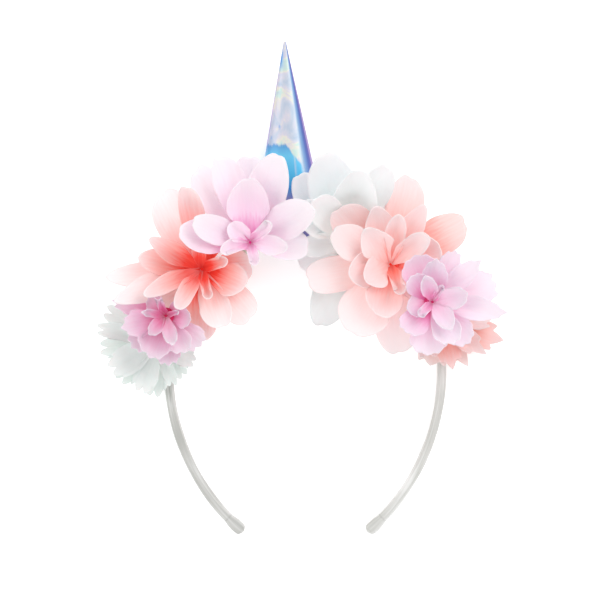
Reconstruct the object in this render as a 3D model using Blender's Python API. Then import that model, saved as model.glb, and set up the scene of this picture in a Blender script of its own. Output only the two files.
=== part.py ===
"""Unicorn horn headband: a ribbon-wrapped hoop, a rolled film horn and eight cloth flowers.

It lies on its back, with the flowers facing up. Metres. +X is right as the flowers face
the viewer, +Y points to the horn's tip and +Z is up. The origin is on the hoop's back face,
at the middle of the crown.
"""

import math
from collections import namedtuple
from itertools import product

import bmesh
import bpy
import numpy as np
from mathutils import Vector
from mathutils.bvhtree import BVHTree

MM = 0.001
GAP = 0.3 * MM  # clearance between pieces that touch

# Hoop: a half-round crown and two sides of larger radius that close in towards the tips
CROWN_RADIUS = 68.0 * MM
SIDE_RADIUS = 104.0 * MM
SIDE_SWEEP = math.radians(50.0)
BAND_DEPTH = 7.0 * MM
BAND_THICKNESS = 5.0 * MM
BAND_CORNER = 1.5 * MM
CROWN_STEPS = 20
SIDE_STEPS = 7

# Ribbon tucked over each end of the hoop
TIP_LENGTH = 10.0 * MM
TIP_THICKNESS = 6.6 * MM

# Horn: a cone of film rolled to an oval, with its free edge lapped over
HORN_HEIGHT = 98.0 * MM
HORN_HALF_WIDTH = 19.2 * MM
HORN_HALF_DEPTH = 9.0 * MM
HORN_WALL = 1.0 * MM
HORN_LAP = 0.7 * MM  # how far the lapped edge stands out at the rim
HORN_LAP_TURN = math.radians(52.0)  # where that edge runs, round from +X
HORN_BLUNT = 0.02  # the tip's size as a share of the rim
HORN_LEAN = math.radians(1.7)
HORN_OFFSET = -7.4 * MM  # the rim's centre, left of the crown's middle
HORN_OVERHANG = 1.5 * MM  # how far the rim reaches down past the crown's centreline
HORN_SIDES = 28
HORN_RINGS = 4

# Flowers: layers of cloth petals cut round a disc, on a calyx that is glued to the hoop
LONGEST_PETAL = 46.0 * MM  # from the heart to the tip, seen from the front
BROADEST_PETAL = 22.0 * MM
HIGHEST_HEART = 24.0 * MM
HUB_OFFSET = 6.0 * MM
PETAL_WALL = 1.0 * MM
PETAL_CLEARANCE = 0.25 * MM
DISC_RADIUS = 5.0 * MM
ROOT_BREADTH = 2.2 * MM
CALYX_RADIUS = 3.2 * MM
CALYX_SIDES = 10
PETAL_WIDEST = 0.64  # where the petal is broadest, as a share of its length
PETAL_TIP = 0.68  # breadth of the tip's edge, as a share of the petal's breadth
PETAL_ROUNDING = 0.17  # how far the tip's corners lie back, as a share of the length
PETAL_BEND = 0.45  # how far out the petal starts to rise, as a share of its reach
PETAL_CUP = 0.30  # how far the sides curl up, as a share of the half breadth
PETAL_ACROSS = (-1.0, -0.42, 0.42, 1.0)
PETAL_ALONG = (0.0, 0.24, 0.50, 0.78, 1.0)
STEEPEST = 66.0
# What is tried, least first, when a petal is in another piece's way: a share of its size, and
# degrees added to its turn and its rise
NUDGES = sorted(
    product((1.0, 0.85, 0.7, 0.55), (0, -4, 4, -8, 8, -12, 12), range(-12, 31, 3)),
    key=lambda nudge: (100 * (1.0 - nudge[0]) + 2 * abs(nudge[1]) + abs(nudge[2]), nudge),
)

Flower = namedtuple(
    "Flower", "name seat hub outward height lean reach breadth colour layers"
)
Petal = namedtuple("Petal", "turn reach breadth rise")

# seat: degrees round the crown from its middle, to the right, to the calyx's foot. hub: the
# same to the flower's heart. outward: how far outside the hoop's centreline the heart lies, as
# a share of HUB_OFFSET. height: the heart above the hoop's front face, as a share of
# HIGHEST_HEART. lean: degrees that the flower faces outwards. reach and breadth: those of its
# largest petal, as shares of LONGEST_PETAL and BROADEST_PETAL.
# Petal rows, layer by layer from the back: turn, degrees from +X towards +Y. reach and breadth,
# shares of the flower's. rise, the degrees at which the tip stands above the heart.
FLOWERS = (
    Flower(
        "mint_left", -78.3, -78.3, 1.00, 0.17, 10.0, 0.70, 0.68, (0.86, 0.93, 0.91),
        (
            (
                (150, 1.00, 0.80, 4),
                (186, 0.94, 0.75, 4),
                (224, 0.88, 0.80, 4),
                (262, 0.84, 0.75, 4),
                (305, 0.66, 0.60, 4),
            ),
            (
                (168, 1.00, 0.75, 14),
                (206, 0.86, 0.90, 14),
                (243, 0.84, 0.75, 14),
                (284, 0.74, 0.60, 14),
                (330, 0.66, 0.60, 14),
            ),
        ),
    ),
    Flower(
        "coral_right", 70.4, 70.4, 0.60, 0.17, 10.0, 0.74, 0.64, (0.95, 0.72, 0.68),
        (
            (
                (346, 0.94, 0.92, 4),
                (302, 0.74, 0.75, 4),
                (264, 0.65, 1.00, 4),
                (222, 0.54, 0.70, 4),
            ),
            (
                (325, 0.79, 0.70, 12),
                (283, 0.70, 0.80, 12),
                (242, 0.60, 0.80, 12),
                (8, 0.80, 0.70, 12),
            ),
        ),
    ),
    Flower(
        "mint_right", 17.1, 17.1, 0.00, 0.25, 8.0, 1.00, 0.95, (0.92, 0.96, 0.96),
        (
            (
                (125, 0.88, 0.80, 8),
                (85, 0.98, 0.72, 8),
                (46, 0.72, 0.80, 8),
                (203, 0.56, 0.75, 10),
                (254, 0.96, 0.75, 3),
            ),
            (
                (104, 0.94, 1.00, 16),
                (64, 0.93, 0.74, 16),
                (190, 0.50, 0.70, 26),
                (150, 0.60, 0.80, 24),
            ),
            (
                (80, 0.78, 0.92, 27),
                (125, 0.56, 0.80, 36),
            ),
        ),
    ),
    Flower(
        "coral", -45.0, -45.0, 0.68, 0.38, 10.0, 1.00, 0.86, (0.98, 0.78, 0.72),
        (
            (
                (117, 0.95, 1.00, 4),
                (76, 0.60, 0.80, 4),
                (185, 1.09, 0.60, 4),
                (222, 0.76, 0.60, 8),
                (4, 0.63, 1.00, 6),
                (314, 0.76, 0.90, 8),
                (272, 0.76, 0.85, 8),
            ),
            (
                (100, 0.92, 0.60, 12),
                (169, 0.72, 0.70, 20),
                (200, 1.00, 0.60, 16),
                (291, 0.68, 0.75, 20),
                (338, 0.50, 0.80, 22),
            ),
            (
                (150, 0.64, 0.50, 32),
                (205, 0.70, 0.60, 32),
                (240, 0.50, 0.60, 40),
                (20, 0.30, 0.70, 48),
                (96, 0.40, 0.60, 44),
                (284, 0.34, 0.60, 46),
            ),
        ),
    ),
    Flower(
        "blush", -29.0, -22.9, 0.25, 0.75, 10.0, 1.00, 0.91, (0.97, 0.87, 0.93),
        (
            (
                (127, 0.99, 0.80, 8),
                (90, 0.96, 0.78, 8),
                (48, 0.82, 0.85, 10),
                (183, 0.89, 1.00, 8),
                (356, 0.62, 0.70, 14),
            ),
            (
                (109, 0.97, 0.72, 16),
                (72, 0.96, 0.90, 16),
                (30, 0.77, 0.95, 20),
                (160, 0.68, 0.78, 22),
            ),
            (
                (94, 0.70, 0.92, 32),
                (200, 0.34, 0.75, 46),
                (48, 0.32, 0.60, 52),
                (283, 0.26, 0.60, 46),
                (142, 0.42, 0.65, 44),
                (5, 0.42, 0.65, 42),
            ),
        ),
    ),
    Flower(
        "pink_left", -67.8, -67.8, 1.00, 0.75, 10.0, 0.70, 0.68, (0.97, 0.72, 0.86),
        (
            (
                (164, 0.91, 0.60, 8),
                (222, 0.74, 0.90, 8),
                (272, 0.78, 0.75, 8),
                (318, 0.72, 0.80, 8),
            ),
            (
                (194, 0.72, 0.85, 18),
                (248, 0.72, 1.00, 20),
                (298, 0.66, 0.75, 20),
                (44, 0.48, 0.70, 30),
                (134, 0.40, 0.60, 34),
                (352, 0.40, 0.60, 30),
            ),
            (
                (110, 0.26, 0.50, 54),
                (170, 0.36, 0.60, 44),
                (228, 0.40, 0.60, 44),
                (285, 0.46, 0.60, 44),
                (22, 0.30, 0.50, 52),
            ),
        ),
    ),
    Flower(
        "peach", 38.1, 38.1, 0.00, 0.62, 4.0, 1.00, 1.00, (0.98, 0.82, 0.78),
        (
            (
                (133, 0.99, 1.00, 8),
                (81, 0.97, 0.72, 8),
                (29, 0.93, 0.75, 8),
                (191, 0.93, 0.75, 6),
                (240, 0.85, 1.00, 8),
                (276, 0.97, 0.85, 6),
                (318, 0.70, 0.80, 4),
            ),
            (
                (150, 0.70, 0.70, 24),
                (106, 0.67, 0.65, 24),
                (60, 0.74, 0.55, 20),
                (18, 0.56, 0.80, 24),
                (194, 0.48, 0.75, 30),
                (258, 0.58, 0.75, 26),
            ),
            (
                (126, 0.48, 0.65, 44),
                (80, 0.58, 0.60, 38),
                (40, 0.50, 0.65, 38),
                (210, 0.32, 0.65, 50),
                (290, 0.36, 0.65, 46),
            ),
        ),
    ),
    Flower(
        "pink_right", 60.8, 60.8, 0.60, 1.00, 4.0, 0.74, 0.73, (0.97, 0.75, 0.88),
        (
            (
                (111, 0.73, 1.00, 12),
                (66, 0.83, 0.65, 12),
                (15, 0.99, 1.00, 10),
                (314, 0.81, 0.78, 10),
                (274, 0.78, 1.00, 10),
                (236, 0.58, 0.80, 12),
            ),
            (
                (40, 0.92, 0.60, 22),
                (352, 1.08, 0.65, 18),
                (86, 0.64, 0.75, 26),
                (296, 0.70, 0.80, 24),
                (132, 0.50, 0.75, 30),
                (190, 0.40, 0.75, 34),
            ),
            (
                (16, 0.54, 0.85, 40),
                (108, 0.42, 0.65, 46),
                (304, 0.48, 0.80, 40),
                (62, 0.40, 0.65, 48),
                (224, 0.30, 0.65, 50),
            ),
        ),
    ),
)
LAYER_NAMES = ("outer", "middle", "inner")

SATIN = (0.93, 0.93, 0.91)
FILM = (0.80, 0.84, 0.96)
CALYX_GREEN = (0.62, 0.70, 0.58)


def clear_scene():
    for thing in list(bpy.data.objects):
        bpy.data.objects.remove(thing)


def new_collection(name):
    made = bpy.data.collections.new(name)
    bpy.context.scene.collection.children.link(made)
    return made


def material(name, colour, roughness, metallic=0.0):
    made = bpy.data.materials.new(name)
    made.use_nodes = True
    surface = made.node_tree.nodes["Principled BSDF"]
    surface.inputs["Base Color"].default_value = (*colour, 1.0)
    surface.inputs["Roughness"].default_value = roughness
    surface.inputs["Metallic"].default_value = metallic
    return made


def add_object(name, mesh, collection, surface):
    made = bpy.data.objects.new(name, mesh)
    collection.objects.link(made)
    if surface is not None:
        mesh.materials.clear()
        mesh.materials.append(surface)
    mesh.shade_smooth()
    mesh.set_sharp_from_angle(angle=math.radians(38.0))
    return made


def mesh_from_bmesh(name, shape):
    bmesh.ops.recalc_face_normals(shape, faces=shape.faces)
    mesh = bpy.data.meshes.new(name)
    shape.to_mesh(mesh)
    shape.free()
    return mesh


def hoop_station(distance):
    """The centreline's point and its outward direction, that far round from the crown's middle."""
    side = math.copysign(1.0, distance)
    quarter = CROWN_RADIUS * math.pi / 2
    if abs(distance) <= quarter:
        turn = abs(distance) / CROWN_RADIUS
        x = CROWN_RADIUS * math.sin(turn)
        y = CROWN_RADIUS * (math.cos(turn) - 1.0)
        outward = (math.sin(turn), math.cos(turn))
    else:
        turn = (abs(distance) - quarter) / SIDE_RADIUS
        x = CROWN_RADIUS - SIDE_RADIUS * (1.0 - math.cos(turn))
        y = -CROWN_RADIUS - SIDE_RADIUS * math.sin(turn)
        outward = (math.cos(turn), -math.sin(turn))
    return Vector((side * x, y, 0.0)), Vector((side * outward[0], outward[1], 0.0))


def half_length():
    return CROWN_RADIUS * math.pi / 2 + SIDE_RADIUS * SIDE_SWEEP


def rounded_section(inner, outer, back, front, corner):
    """Corner points of a rounded rectangle: distance along the outward direction, and height."""
    points = []
    corners = ((outer, front, 0), (inner, front, 90), (inner, back, 180), (outer, back, 270))
    for across, height, start in corners:
        centre_across = across + (corner if across == inner else -corner)
        centre_height = height + (corner if height == back else -corner)
        for step in (0, 45, 90):
            angle = math.radians(start + step)
            points.append(
                (centre_across + corner * math.cos(angle), centre_height + corner * math.sin(angle))
            )
    return points


def loft(rings):
    """A closed solid through rings that have the same number of points."""
    shape = bmesh.new()
    rows = [[shape.verts.new(point) for point in ring] for ring in rings]
    count = len(rows[0])
    for lower, upper in zip(rows, rows[1:]):
        for i in range(count):
            j = (i + 1) % count
            shape.faces.new((lower[i], lower[j], upper[j], upper[i]))
    shape.faces.new(reversed(rows[0]))
    shape.faces.new(rows[-1])
    return shape


def hoop_loft(distances, section_at):
    """A solid that follows the hoop: section_at gives the section's points at each distance."""
    rings = []
    for distance in distances:
        centre, outward = hoop_station(distance)
        rings.append([
            centre + outward * across + Vector((0.0, 0.0, height))
            for across, height in section_at(distance)
        ])
    return loft(rings)


def band_distances(end):
    """Stations along the hoop up to that distance from the crown's middle, on both sides."""
    quarter = CROWN_RADIUS * math.pi / 2
    crown = np.linspace(-quarter, quarter, CROWN_STEPS + 1)
    side = np.linspace(quarter, end, SIDE_STEPS + 1)[1:]
    return np.concatenate([-side[::-1], crown, side])


def make_band(parts, satin):
    end = half_length() - TIP_LENGTH - GAP
    half = BAND_THICKNESS / 2
    section = rounded_section(-half, half, 0.0, BAND_DEPTH, BAND_CORNER)
    shape = hoop_loft(band_distances(end), lambda distance: section)
    return add_object("band", mesh_from_bmesh("band", shape), parts, satin)


def make_tip(name, side, parts, satin):
    """The ribbon's end, tucked round the hoop's end: it swells, then closes in a rounded end."""
    shares = (0.0, 0.18, 0.45, 0.72, 0.90, 1.0)
    thickness_shares = (0.0, 0.55, 1.0, 0.95, 0.55, -0.35)  # from the band's to the tip's
    inset_shares = (0.0, 0.0, 0.0, 0.0, 0.10, 0.26)  # of the depth, on each face
    start = half_length() - TIP_LENGTH

    def section_at(distance):
        share = (abs(distance) - start) / TIP_LENGTH
        grown = float(np.interp(share, shares, thickness_shares))
        half = (BAND_THICKNESS + grown * (TIP_THICKNESS - BAND_THICKNESS)) / 2
        inset = float(np.interp(share, shares, inset_shares)) * BAND_DEPTH
        return rounded_section(-half, half, inset, BAND_DEPTH - inset, BAND_CORNER)

    distances = [side * (start + TIP_LENGTH * share) for share in shares]
    shape = hoop_loft(distances, section_at)
    return add_object(name, mesh_from_bmesh(name, shape), parts, satin)


def horn_ring(size, inset, lapped):
    """One section of the horn. size is a share of the rim, inset the wall's thickness."""
    points = []
    for i in range(HORN_SIDES):
        turn = HORN_LAP_TURN + 2 * math.pi * i / HORN_SIDES
        lap = HORN_LAP * (1.0 - i / (HORN_SIDES - 1)) if lapped else 0.0
        across = max(HORN_HALF_WIDTH * size + (lap * size) - inset, 0.1 * MM)
        deep = max(HORN_HALF_DEPTH * size + (lap * size) - inset, 0.1 * MM)
        points.append((across * math.cos(turn), deep * math.sin(turn)))
    return points


def make_horn(parts, cutters, film):
    """A hollow cone, open at the rim, notched where it sits astride the crown."""
    centre_height = HORN_HALF_DEPTH + HORN_LAP + GAP
    inner_top = 1.0 - 3.0 * HORN_WALL / HORN_HALF_DEPTH
    levels = [i / (HORN_RINGS - 1) for i in range(HORN_RINGS)]
    outer = [(level, horn_ring(1.0 - level * (1.0 - HORN_BLUNT), 0.0, True)) for level in levels]
    inner = [
        (level * inner_top, horn_ring(1.0 - level * inner_top, HORN_WALL, False))
        for level in levels
    ]
    shape = bmesh.new()

    def row(level, ring):
        along = -HORN_OVERHANG + level * HORN_HEIGHT
        found = []
        for across, deep in ring:
            x = across * math.cos(HORN_LEAN) - along * math.sin(HORN_LEAN)
            y = across * math.sin(HORN_LEAN) + along * math.cos(HORN_LEAN)
            found.append(shape.verts.new((HORN_OFFSET + x, y, centre_height + deep)))
        return found

    rows = [row(*item) for item in reversed(inner)] + [row(*item) for item in outer]
    for lower, upper in zip(rows, rows[1:]):
        for i in range(HORN_SIDES):
            j = (i + 1) % HORN_SIDES
            shape.faces.new((lower[i], lower[j], upper[j], upper[i]))
    shape.faces.new(rows[0])
    shape.faces.new(rows[-1])
    horn = add_object("horn", mesh_from_bmesh("horn", shape), parts, film)

    # The cutter is the crown with clearance, open towards the inside of the hoop
    reach = 1.2 * (HORN_HALF_WIDTH - HORN_OFFSET)
    section = rounded_section(
        -BAND_THICKNESS, BAND_THICKNESS / 2 + GAP, -3 * GAP, BAND_DEPTH + GAP, BAND_CORNER
    )
    distances = np.linspace(-reach, reach, 17)
    notch = add_object(
        "crown_notch",
        mesh_from_bmesh("crown_notch", hoop_loft(distances, lambda distance: section)),
        cutters, None,
    )
    as_helper(notch)
    cut = horn.modifiers.new("crown_notch", "BOOLEAN")
    cut.operation = "DIFFERENCE"
    cut.object = notch
    return horn


def as_helper(thing):
    thing.hide_render = True
    thing.display_type = "WIRE"


def heading(turn, rise):
    """The direction of a turn from +X and a rise above level, both in degrees."""
    turn, rise = math.radians(turn), math.radians(rise)
    return Vector((
        math.cos(turn) * math.cos(rise), math.sin(turn) * math.cos(rise), math.sin(rise)
    ))


def petal_points(heart, axis, reach, breadth, turn, rise):
    """Rows of points along a petal's middle surface, from the disc's rim to the tip.

    The middle line is a quadratic curve that leaves the disc in its plane and bends up to the
    tip. The sides curl towards the flower's axis.
    """
    outward = heading(turn, 0.0)
    tip = heart + outward * reach + Vector((0.0, 0.0, reach * math.tan(math.radians(rise))))
    level = (outward - axis * outward.dot(axis)).normalized()
    across = axis.cross(level).normalized()
    root = heart + level * DISC_RADIUS
    bend = root + level * (PETAL_BEND * reach)
    rows = []
    for along in PETAL_ALONG:
        if along < PETAL_WIDEST:
            grown = math.sin(math.pi / 2 * along / PETAL_WIDEST) ** 2
            half = (ROOT_BREADTH + (breadth - ROOT_BREADTH) * grown) / 2
        else:
            past = (along - PETAL_WIDEST) / (1.0 - PETAL_WIDEST)
            half = breadth * (1.0 - (1.0 - PETAL_TIP) * past ** 2) / 2
        row = []
        for side in PETAL_ACROSS:
            s = along * (1.0 - PETAL_ROUNDING * along * side * side)
            middle = root * (1 - s) ** 2 + bend * 2 * s * (1 - s) + tip * s ** 2
            forward = ((bend - root) * (1 - s) + (tip - bend) * s).normalized()
            up = forward.cross(across)
            up *= math.copysign(1.0, up.dot(axis))
            curl = PETAL_CUP * half * side * side * min(1.0, 3.0 * along)
            row.append(middle + across * (side * half) + up * curl)
        rows.append(row)
    return rows


def petal_skins(rows, axis, wall):
    """The petal's front and back faces as grids of points, a wall apart."""
    grid = np.array([[tuple(point) for point in row] for row in rows])
    normal = np.cross(np.gradient(grid, axis=0), np.gradient(grid, axis=1))
    normal /= np.linalg.norm(normal, axis=2, keepdims=True)
    normal[0] = axis
    return [grid + normal * offset for offset in (wall / 2, -wall / 2)]


def add_petal(shape, skins):
    """Adds a petal's faces and free rim, and returns its corners at the root of each face."""
    made = [[[shape.verts.new(point) for point in row] for row in skin] for skin in skins]
    count, width = len(made[0]), len(made[0][0])
    for skin in made:
        for i in range(count - 1):
            for j in range(width - 1):
                shape.faces.new((skin[i][j], skin[i][j + 1], skin[i + 1][j + 1], skin[i + 1][j]))
    rim = (
        [(i, 0) for i in range(count)]
        + [(count - 1, j) for j in range(1, width)]
        + [(i, width - 1) for i in range(count - 2, -1, -1)]
    )
    for (i, j), (k, m) in zip(rim, rim[1:]):
        shape.faces.new((made[0][i][j], made[0][k][m], made[1][k][m], made[1][i][j]))
    return made[0][0], made[1][0]


def petal_tree(rows, axis, wall):
    """A single petal, closed at its root, to find what it would touch."""
    shape = bmesh.new()
    front, back = add_petal(shape, petal_skins(rows, axis, wall))
    shape.faces.new(list(front) + list(reversed(back)))
    tree = BVHTree.FromBMesh(shape)
    shape.free()
    return tree


def flower_place(flower):
    """The seat on the hoop's front face, the heart, and the way the flower faces."""
    seat, _ = hoop_station(CROWN_RADIUS * math.radians(flower.seat))
    seat.z = BAND_DEPTH + GAP
    below, outward = hoop_station(CROWN_RADIUS * math.radians(flower.hub))
    lean = math.radians(flower.lean)
    axis = outward * math.sin(lean) + Vector((0.0, 0.0, math.cos(lean)))
    height = BAND_DEPTH + flower.height * HIGHEST_HEART
    heart = below + outward * (flower.outward * HUB_OFFSET) + Vector((0.0, 0.0, height))
    return seat, heart, axis


def disc_frame(axis):
    """Two directions in a disc's plane, the first of them nearest to +X."""
    right = Vector((1.0, 0.0, 0.0))
    right = (right - axis * right.dot(axis)).normalized()
    return right, axis.cross(right)


def round_points(centre, axis, radius, sides):
    right, upward = disc_frame(axis)
    turns = [2 * math.pi * i / sides for i in range(sides)]
    return [centre + (right * math.cos(t) + upward * math.sin(t)) * radius for t in turns]


def calyx_shape(flower):
    """A plain post from the hoop's face to the underside of the first disc."""
    seat, heart, axis = flower_place(flower)
    top = heart - axis * (PETAL_WALL / 2 + GAP)
    shape = loft([
        round_points(seat, Vector((0.0, 0.0, 1.0)), CALYX_RADIUS, CALYX_SIDES),
        round_points(top, axis, CALYX_RADIUS, CALYX_SIDES),
    ])
    bmesh.ops.recalc_face_normals(shape, faces=shape.faces)
    return shape


def layer_hearts(flower):
    """The middle of each layer's disc."""
    _, heart, axis = flower_place(flower)
    return [heart + axis * (i * (PETAL_WALL + GAP)) for i in range(len(flower.layers))]


def core_shape(flower):
    """All of the flower's discs as one short post, which other flowers' petals keep clear of."""
    _, _, axis = flower_place(flower)
    hearts = layer_hearts(flower)
    thick = PETAL_WALL / 2 + GAP
    return loft([
        round_points(hearts[0] - axis * thick, axis, DISC_RADIUS + GAP, CALYX_SIDES),
        round_points(hearts[-1] + axis * thick, axis, DISC_RADIUS + GAP, CALYX_SIDES),
    ])


def settled_petal(flower, petal, heart, axis, obstacles):
    """Moves the petal by the smallest of NUDGES that clears the pieces placed before it."""
    reach = petal.reach * flower.reach * LONGEST_PETAL
    breadth = petal.breadth * flower.breadth * BROADEST_PETAL
    for size, turn, rise in NUDGES:
        rows = petal_points(
            heart, axis, reach * size, breadth * size, petal.turn + turn,
            min(petal.rise + rise, STEEPEST),
        )
        tree = petal_tree(rows, axis, PETAL_WALL + 2 * PETAL_CLEARANCE)
        hit = [name for name, other in obstacles if tree.overlap(other)]
        if not hit:
            break
    if (size, turn, rise) != (1.0, 0, 0):
        print("nudged", flower.name, petal.turn, petal.rise, "by", size, turn, rise, hit)
    return rows


def layer_shape(heart, axis, petals):
    """A disc with its petals. petals holds each one's rows of points."""
    right, upward = disc_frame(axis)

    def bearing(point):
        return math.atan2((point - heart).dot(upward), (point - heart).dot(right))

    petals = sorted(petals, key=lambda rows: bearing((rows[0][0] + rows[0][-1]) / 2))
    shape = bmesh.new()
    roots = [add_petal(shape, petal_skins(rows, axis, PETAL_WALL)) for rows in petals]
    front_ring, back_ring = [], []
    for k, rows in enumerate(petals):
        following = petals[(k + 1) % len(petals)]
        start, end = bearing(rows[0][-1]), bearing(following[0][0])
        open_turn = (end - start) % (2 * math.pi)
        steps = max(1, round(open_turn / math.radians(30.0)))
        rim = (rows[0][-1] - heart).length
        fronts, backs = [], []
        for i in range(1, steps):
            turn = start + open_turn * i / steps
            point = heart + (right * math.cos(turn) + upward * math.sin(turn)) * rim
            fronts.append(shape.verts.new(point + axis * (PETAL_WALL / 2)))
            backs.append(shape.verts.new(point - axis * (PETAL_WALL / 2)))
        after = roots[(k + 1) % len(petals)]
        fronts_all = [roots[k][0][-1]] + fronts + [after[0][0]]
        backs_all = [roots[k][1][-1]] + backs + [after[1][0]]
        for i in range(steps):
            shape.faces.new((fronts_all[i], fronts_all[i + 1], backs_all[i + 1], backs_all[i]))
        front_ring += list(roots[k][0]) + fronts
        back_ring += list(roots[k][1]) + backs
    shape.faces.new(front_ring)
    shape.faces.new(list(reversed(back_ring)))
    return shape


def make_flower(flower, parts, placed):
    """Places the flower's petals, layer by layer from the back, clear of everything before."""
    _, _, axis = flower_place(flower)
    cloth = material(flower.name + "_cloth", flower.colour, 0.85)
    for layer, table, heart in zip(LAYER_NAMES, flower.layers, layer_hearts(flower)):
        petals = []
        for petal in table:
            obstacles = [item for item in placed if item[0] != flower.name]
            rows = settled_petal(flower, Petal(*petal), heart, axis, obstacles)
            placed.append((f"{flower.name} {layer}", petal_tree(rows, axis, PETAL_WALL)))
            petals.append(rows)
        node = f"{flower.name}_{layer}_petals"
        add_object(node, mesh_from_bmesh(node, layer_shape(heart, axis, petals)), parts, cloth)


def main():
    clear_scene()
    parts = new_collection("unicorn_horn_headband")
    helpers = new_collection("helpers")
    satin = material("ribbon_satin", SATIN, 0.35)
    film = material("horn_film", FILM, 0.12, 0.3)
    green = material("calyx_plastic", CALYX_GREEN, 0.5)
    make_band(parts, satin)
    make_tip("ribbon_tip_left", -1, parts, satin)
    make_tip("ribbon_tip_right", 1, parts, satin)
    horn = make_horn(parts, helpers, film)
    bpy.context.view_layer.update()
    placed = [("horn", BVHTree.FromObject(horn, bpy.context.evaluated_depsgraph_get()))]
    for flower in FLOWERS:
        calyx = calyx_shape(flower)
        core = core_shape(flower)
        placed.append((flower.name, BVHTree.FromBMesh(calyx)))
        placed.append((flower.name, BVHTree.FromBMesh(core)))
        core.free()
        name = flower.name + "_calyx"
        add_object(name, mesh_from_bmesh(name, calyx), parts, green)
    for flower in FLOWERS:
        make_flower(flower, parts, placed)


main()
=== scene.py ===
import math
from itertools import product

import bmesh
import bpy
import numpy as np
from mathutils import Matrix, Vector
from mathutils.bvhtree import BVHTree


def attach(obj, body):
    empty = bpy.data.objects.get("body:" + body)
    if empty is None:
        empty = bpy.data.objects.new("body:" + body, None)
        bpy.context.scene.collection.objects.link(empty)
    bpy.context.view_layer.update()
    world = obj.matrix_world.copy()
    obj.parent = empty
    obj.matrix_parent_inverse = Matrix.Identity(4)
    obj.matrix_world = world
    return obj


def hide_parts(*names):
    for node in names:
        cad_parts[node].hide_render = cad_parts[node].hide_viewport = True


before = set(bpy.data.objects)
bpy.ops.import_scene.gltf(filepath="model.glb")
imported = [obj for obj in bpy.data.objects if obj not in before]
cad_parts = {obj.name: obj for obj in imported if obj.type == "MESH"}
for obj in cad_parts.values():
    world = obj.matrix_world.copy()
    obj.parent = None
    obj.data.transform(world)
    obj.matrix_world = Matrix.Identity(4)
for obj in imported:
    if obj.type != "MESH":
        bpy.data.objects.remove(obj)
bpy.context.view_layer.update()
mm = 0.001
random = np.random.default_rng(7)


def linear(hexColour):
    # each sRGB channel c becomes ((c + 0.055) / 1.055) ** 2.4, or c / 12.92 where it is dark
    c = np.array([int(hexColour[i:i + 2], 16) for i in (1, 3, 5)]) / 255
    return (*np.where(c <= 0.04045, c / 12.92, ((c + 0.055) / 1.055) ** 2.4), 1.0)


def newMaterial(name, **surface):
    # a Principled material; its constants are set on its own sockets
    made = bpy.data.materials.new(name)
    made.use_nodes = True
    shader = made.node_tree.nodes["Principled BSDF"]
    for socket, value in surface.items():
        shader.inputs[socket.replace("_", " ")].default_value = value
    return made, shader


def addNode(material, kind, settings=None, stops=None, **inputs):
    # adds a node, sets its properties and ramp stops, and fills or links its inputs
    tree = material.node_tree
    node = tree.nodes.new(kind)
    for name, value in (settings or {}).items():
        setattr(node, name, value)
    if stops:
        ramp = node.color_ramp.elements
        while len(ramp) < len(stops):
            ramp.new(1.0)
        for element, (place, colour) in zip(ramp, stops):
            element.position = place
            element.color = linear(colour)
    for name, value in inputs.items():
        socket = node.inputs[int(name[1:])] if name[1:].isdigit() else node.inputs[name]
        if isinstance(value, bpy.types.NodeSocket):
            tree.links.new(value, socket)
        else:
            socket.default_value = value
    return node


def link(material, output, socket):
    material.node_tree.links.new(output, socket)


def gridFaces(rows, columns, closed=False, first=0):
    # quads over a grid of points stored row by row; closed joins the last column to the first
    i, j = np.meshgrid(np.arange(rows - 1), np.arange(columns - (0 if closed else 1)), indexing="ij")
    k = (j + 1) % columns
    near, far = i * columns, (i + 1) * columns
    return np.stack([near + j, near + k, far + k, far + j], -1).reshape(-1, 4) + first


def meshObject(name, points, quads, material, uv=None, attributes=None, caps=()):
    # puts whole arrays of points and quads into a mesh; uv and attributes are per point
    mesh = bpy.data.meshes.new(name)
    polygons = [tuple(int(i) for i in quad) for quad in quads] + [tuple(cap) for cap in caps]
    mesh.from_pydata(points.reshape(-1, 3), [], polygons)
    corners = np.zeros(len(mesh.loops), dtype=np.int32)
    mesh.loops.foreach_get("vertex_index", corners)
    if uv is not None:
        layer = mesh.uv_layers.new(name="UVMap")
        layer.data.foreach_set("uv", uv.reshape(-1, 2)[corners].astype(np.float32).ravel())
    for key, values in (attributes or {}).items():
        made = mesh.attributes.new(key, "FLOAT", "POINT")
        made.data.foreach_set("value", values.astype(np.float32).ravel())
    mesh.shade_smooth()
    mesh.materials.append(material)
    made = bpy.data.objects.new(name, mesh)
    bpy.context.scene.collection.objects.link(made)
    return made


def thicken(piece, wall):
    # gives a sheet its wall, half of it to each side
    solid = piece.modifiers.new("wall", "SOLIDIFY")
    solid.thickness = wall
    solid.offset = 0.0


def unit(v):
    return v / np.linalg.norm(v, axis=-1, keepdims=True)


print("stage: camera, floor and lights")
view = {
    "middle": (-2.65 * mm, -32.0 * mm),  # the photograph's middle, on the hoop's plane
    "width": 0.300,  # what 600 pixels span there
    "distance": 2.4,
    "sensor": 36.0,
}
cameraData = bpy.data.cameras.new("camera")
camera = bpy.data.objects.new("camera", cameraData)
bpy.context.scene.collection.objects.link(camera)
bpy.context.scene.camera = camera
camera.location = (*view["middle"], view["distance"])
cameraData.sensor_width = view["sensor"]
cameraData.lens = view["sensor"] * view["distance"] / view["width"]
cameraData.clip_end = 20.0

studio = {
    "boardReach": 3.0,  # from its middle to each side
    "boardGlow": 0.29,
    "roomLight": 0.72,
    "softboxes": {  # each one's place, side and power
        "softboxUpperRight": ((1.0, 0.9, 1.5), 1.2, 14.0),
        "softboxLeft": ((-1.2, 0.2, 1.3), 1.0, 6.0),
        "softboxBelow": ((0.1, -1.4, 1.2), 1.2, 5.0),
    },
}
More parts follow.
